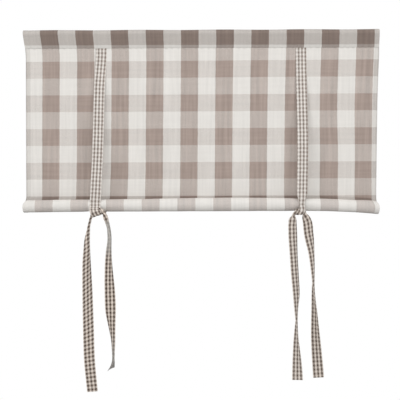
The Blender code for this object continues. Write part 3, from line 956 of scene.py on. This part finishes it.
def back_tie_route(top_x, knot, tail_rows):
    sewn_y = PANEL_HALF + CLEARANCE + TIE_THICKNESS / 2
    end_x = knot.place(JOIN_SHARE, 0.0, 0.0).x
    axis_y, axis_z = axis_at(end_x)
    stations = [
        station((top_x, sewn_y, -SEAM_DROP - CLEARANCE)),
        station((top_x, sewn_y, -SEAM_DROP - SEWN_END)),
        station((end_x, sewn_y, axis_z + 2 * GATHER_RUN)),
        station((end_x, sewn_y, axis_z + GATHER_RUN)),
    ]
    last_angle = math.pi / 2 + knot.forward - JOIN_ANGLE
    for share in np.linspace(0, 1, 6).tolist():
        angle = last_angle * share
        gather = min(1.6 * share, 1.0)
        around = ROLL_RADIUS + STRAND_AIR + half_depth(gather)
        along_y = axis_y + around * math.cos(angle)
        along_z = axis_z - around * math.sin(angle)
        stations.append(station((end_x, along_y, along_z), gather=gather))
    for share in np.linspace(0.75, 0, 7):
        stations.append(station(knot.back_strand(share), gather=1.0))
    return smooth_route(stations + tail(knot, knot.back_strand(0.0), tail_rows), ROUTE_STEP)


def cut_on_slant(grid, along, slant):
    """Ends each column of a tie's grid at its own length: the last edge is shorter than the first by slant,
    or, where slant is below zero, the first is shorter than the last."""
    run = -along
    near_tip = smooth(1 - (run[-1] - run) / CUT_RUN)
    cut = np.empty_like(grid)
    for column, share in enumerate(np.linspace(0, 1, grid.shape[1])):
        shorter = abs(slant) * (share if slant > 0 else 1 - share)
        wanted = run - shorter * near_tip
        for axis in range(grid.shape[2]):
            cut[:, column, axis] = np.interp(wanted, run, grid[:, column, axis])
    return cut


def make_tie(name, route, material, skew=0.0, shade=0.0, weft=0.0, drift=0.0, slant=0.0, neck=0.0, tip=0.0):
    """A tie along its route.
    """
    points = route[:, :3]
    tangents = np.gradient(points, axis=0)
    tangents /= np.linalg.norm(tangents, axis=1, keepdims=True)
    sides = route[:, 3:6]
    sides = sides - np.sum(sides * tangents, 1, keepdims=True) * tangents
    sides /= np.linalg.norm(sides, axis=1, keepdims=True)
    faces = np.cross(tangents, sides)
    along = -np.concatenate([[0.0], np.cumsum(np.linalg.norm(np.diff(points, axis=0), axis=1))])
    skin = Skin()
    upper, lower, places = [], [], []
    for k, row in enumerate(route):
        gather = min(max(row[6], 0.0), 1.0)
        hang = float(smooth((-along[k] - HANG_FROM) / HANG_FADE))
        cupped = CUP_CURL * hang * (1 - float(smooth((-along[k] - CUP_UNTIL) / CUP_FADE)))
        curl = FLAT_CURL + cupped + hang * HANG_CURL * abs(sides[k][1]) ** 2 + gather * FULL_CURL
        across, depth, out_across, out_depth = tie_section(curl)
        q = np.linspace(0, 1, len(across))
        edge = np.minimum(q, 1 - q) * TIE_WIDTH
        rounded = TIE_EDGE_THIN + (1 - TIE_EDGE_THIN) * smooth(edge / EDGE_ROUND)
        half = (TIE_THICKNESS / 2 * rounded)[:, None]
        middle = points[k] + across[:, None] * sides[k] + depth[:, None] * faces[k]
        out = out_across[:, None] * sides[k] + out_depth[:, None] * faces[k]
        upper.append(middle + half * out)
        lower.append(middle - half * out)
        shift = TIE_CHECK_SHIFT - drift * float(smooth(-along[k] / DRIFT_OVER))
        across_cloth = (q - 0.5) * TIE_WIDTH * (1 - HANG_SHRINK * hang) - shift * (1 - hang)
        to_end = float(smooth((along[k] - along[-1]) / SKEW_FADE))
        skewed = along[k] + hang * to_end * skew * across_cloth
        places.append(np.stack([across_cloth, skewed], -1))
    # Painted shade, with a warm tint, on the tie from the fold by the knot down; a plain, darker colour on
    # the neck and the tip, which is partly painted shade; and more painted shade at the very tip
    shaded = shade * smooth((-along - SHADE_FROM) / SHADE_FADE)[:, None]
    weft_up = weft * smooth((-along - HANG_FROM) / HANG_FADE)[:, None]
    at_neck = smooth((-along - NECK_FROM) / NECK_FADE_IN)
    at_neck = at_neck * (1 - smooth((-along - NECK_UNTIL) / NECK_FADE_OUT))
    at_tip = smooth(1 - (along - along[-1]) / PLAIN_SHADE_RUN)
    plain = (neck * at_neck + tip * at_tip)[:, None]
    dark_tip = (TIP_SHADE * tip * at_tip**2)[:, None]
    upper, lower, places = (cut_on_slant(np.array(grid), along, slant) for grid in (upper, lower, places))
    layers = {"backing_and_shade": shaded, "weft": weft_up, "plain_shade": plain, "painted_shade": dark_tip}
    top = skin.add(upper, places, **layers)
    bottom = skin.add(lower, places, **layers)
    skin.quads(top)
    skin.quads(bottom)
    for edge in (0, -1):
        skin.between(top[:, edge], bottom[:, edge])
        skin.between(top[edge], bottom[edge])
    length = float(-along[-1])
    return skin.build(name, material), length


def tie_stitches(top_x):
    """Two rows of stitches that hold a front tie's end to the seam."""
    across, depth, _, out_depth = tie_section(FLAT_CURL)
    sewn_y = -(PANEL_HALF + CLEARANCE + TIE_THICKNESS / 2)

    def at(row_z):
        def point_at(place):
            face = sewn_y - np.interp(place, across, depth + out_depth * TIE_THICKNESS / 2)
            return np.stack([top_x + place, face, row_z + 0 * place], -1)

        return point_at

    reach = TIE_WIDTH / 2 - 0.0015
    top_z = -SEAM_DROP - CLEARANCE
    rows = [
        stitch_rows((-reach, reach), STITCH_PITCH, STITCH_LENGTH, at(top_z - drop))
        for drop in TIE_STITCH_DROPS
    ]
    return np.concatenate(rows)


# Stage


def make_stage():
    mesh = bpy.data.meshes.new("floor")
    signs = ((-1, -1), (1, -1), (1, 1), (-1, 1))
    corners = [(x * FLOOR_HALF, y * FLOOR_HALF, FLOOR_LEVEL) for x, y in signs]
    mesh.from_pydata(corners, [], [(0, 1, 2, 3)])
    floor = bpy.data.objects.new("floor", mesh)
    bpy.context.scene.collection.objects.link(floor)
    material = bpy.data.materials.new("pale_floor")
    n = Nodes(material)
    n.shader.inputs["Base Color"].default_value = (0.9, 0.9, 0.9, 1.0)
    n.shader.inputs["Roughness"].default_value = 0.8
    mesh.materials.append(material)


def make_world():
    """White where the camera sees it, and a plain even light for the object."""
    world = bpy.data.worlds.new("studio")
    bpy.context.scene.world = world
    world.use_nodes = True
    tree = world.node_tree
    tree.nodes.clear()
    light = tree.nodes.new("ShaderNodeBackground")
    light.inputs["Color"].default_value = (1.0, 1.0, 1.0, 1.0)
    light.inputs["Strength"].default_value = AMBIENT
    white = tree.nodes.new("ShaderNodeBackground")
    white.inputs["Color"].default_value = (1.0, 1.0, 1.0, 1.0)
    white.inputs["Strength"].default_value = 1.0
    path = tree.nodes.new("ShaderNodeLightPath")
    mix = tree.nodes.new("ShaderNodeMixShader")
    out = tree.nodes.new("ShaderNodeOutputWorld")
    tree.links.new(path.outputs["Is Camera Ray"], mix.inputs["Fac"])
    tree.links.new(light.outputs[0], mix.inputs[1])
    tree.links.new(white.outputs[0], mix.inputs[2])
    tree.links.new(mix.outputs[0], out.inputs["Surface"])


def make_lamp(name, place, size, power):
    data = bpy.data.lights.new(name, "AREA")
    data.shape = "SQUARE"
    data.size = size
    data.energy = power
    lamp = bpy.data.objects.new(name, data)
    lamp.location = place
    aim = Vector((0.0, 0.0, CAMERA_Z)) - Vector(place)
    lamp.rotation_euler = aim.to_track_quat("-Z", "Y").to_euler()
    bpy.context.scene.collection.objects.link(lamp)


def make_camera():
    data = bpy.data.cameras.new("camera")
    data.sensor_width = SENSOR
    data.lens = SENSOR * CAMERA_DISTANCE / FRAME_WIDTH
    camera = bpy.data.objects.new("camera", data)
    camera.location = (CAMERA_X, -CAMERA_DISTANCE, CAMERA_Z)
    camera.rotation_euler = (math.pi / 2, CAMERA_ROLL, 0.0)
    bpy.context.scene.collection.objects.link(camera)
    bpy.context.scene.camera = camera


# The object

panel_cotton = gingham(
    "panel_cotton",
    pale=PANEL_PALE,
    dark=PANEL_DARK,
    across=(FIRST_COLUMN, CHECK_ACROSS),
    along=(FIRST_ROW - CHECK_ALONG / 2, CHECK_ALONG),
    thread=PANEL_THREAD,
    deepening=(0.13, 0.30),
    warmth=0.0,
    seam=0.45,
)
tie_cotton = gingham(
    "tie_cotton",
    pale=TIE_PALE,
    dark=TIE_DARK,
    across=(-TIE_CHECK_ACROSS / 4, TIE_CHECK_ACROSS),
    along=(TIE_FIRST_ROW, TIE_CHECK_ALONG),
    thread=TIE_THREAD,
    deepening=(0.10, 0.50),
    warmth=0.25,
    seam=0.0,
)

panel = make_panel(panel_cotton)
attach(panel, "root")
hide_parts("panel")

left_knot = Knot(LEFT_ROLL_X, 1, LEFT_KNOT_LENGTH, LEFT_KNOT_FORWARD, LEFT_KNOT_TILT, LEFT_BACK_SHARE)
right_knot = Knot(RIGHT_KNOT_X, -1, RIGHT_KNOT_LENGTH, RIGHT_KNOT_FORWARD, 0.0, RIGHT_BACK_SHARE)
routes = {
    "tie_left_front": front_tie_route(
        LEFT_TIE_X, LEFT_SWAY, LEFT_ROLL_X, left_knot, LEFT_WRAP, FOLD_LEAN, LEFT_FRONT_TAIL
    ),
    "tie_left_back": back_tie_route(LEFT_TIE_X, left_knot, LEFT_BACK_TAIL),
    "tie_right_front": front_tie_route(
        RIGHT_TIE_X, RIGHT_SWAY, RIGHT_ROLL_X, right_knot, RIGHT_WRAP, 0.0, RIGHT_FRONT_TAIL
    ),
    "tie_right_back": back_tie_route(RIGHT_TIE_X, right_knot, RIGHT_BACK_TAIL),
}
# Each tie's skew and drift of its check, how much painted shade it gets, how far its weft shows, and how
# much of its neck and tip is painted plain and darker
looks = {
    "tie_left_front": {
        "shade": 1.25,
        "weft": 0.05,
        "drift": 0.0024,
        "slant": -0.012,
        "neck": 0.75,
        "tip": 0.95,
    },
    "tie_left_back": {"skew": -0.62, "shade": 1.1, "weft": 0.35},
    "tie_right_front": {"shade": 0.75},
    "tie_right_back": {"skew": -0.15, "shade": 0.9},
}
for node, route in routes.items():
    tie, length = make_tie(node + "_cloth", route, tie_cotton, **looks[node])
    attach(tie, "root")
    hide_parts(node)

sewing_thread = thread_material()
stitching = {
    "panel_seam_stitches": panel_stitches(),
    "tie_left_front_stitches": tie_stitches(LEFT_TIE_X),
    "tie_right_front_stitches": tie_stitches(RIGHT_TIE_X),
}
for name, rows in stitching.items():
    stitches = make_stitches(name, rows, sewing_thread)
    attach(stitches, "root")

make_stage()
make_world()
for lamp in LAMPS:
    make_lamp(*lamp)
make_camera()

scene = bpy.context.scene
scene.view_settings.view_transform = "Standard"
